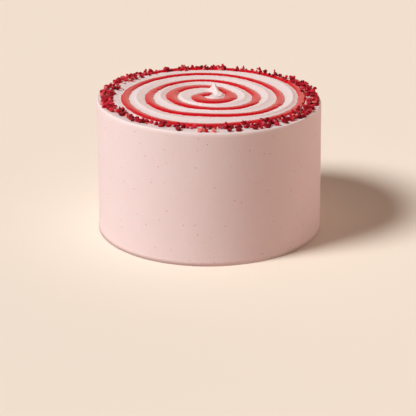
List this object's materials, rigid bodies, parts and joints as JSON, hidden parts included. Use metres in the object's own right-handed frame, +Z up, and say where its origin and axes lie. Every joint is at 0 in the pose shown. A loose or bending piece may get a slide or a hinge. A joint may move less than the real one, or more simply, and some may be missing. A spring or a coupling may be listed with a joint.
{
  "type": "layer cake",
  "caption": "Tall round layer cake frosted in pale pink, with a spiral of red fruit sauce on top and a ring of dried fruit crumbs.",
  "frame": {"origin": "centre of the flat base, on the surface that the cake stands on", "axes": "+Z up, -Y towards the front, +X to the right seen from the front"},
  "size_m": [0.2118, 0.2118, 0.1323],
  "materials": {
    "frosting": "satin pale pink buttercream with fine red flecks",
    "sauce": "wet glossy red fruit sauce",
    "fruit_crumbs": "dull dark red dried fruit"
  },
  "bodies": {
    "root": {"frosted_cake": "frosting", "fruit_sauce": "sauce"}
  },
  "joints": []
}
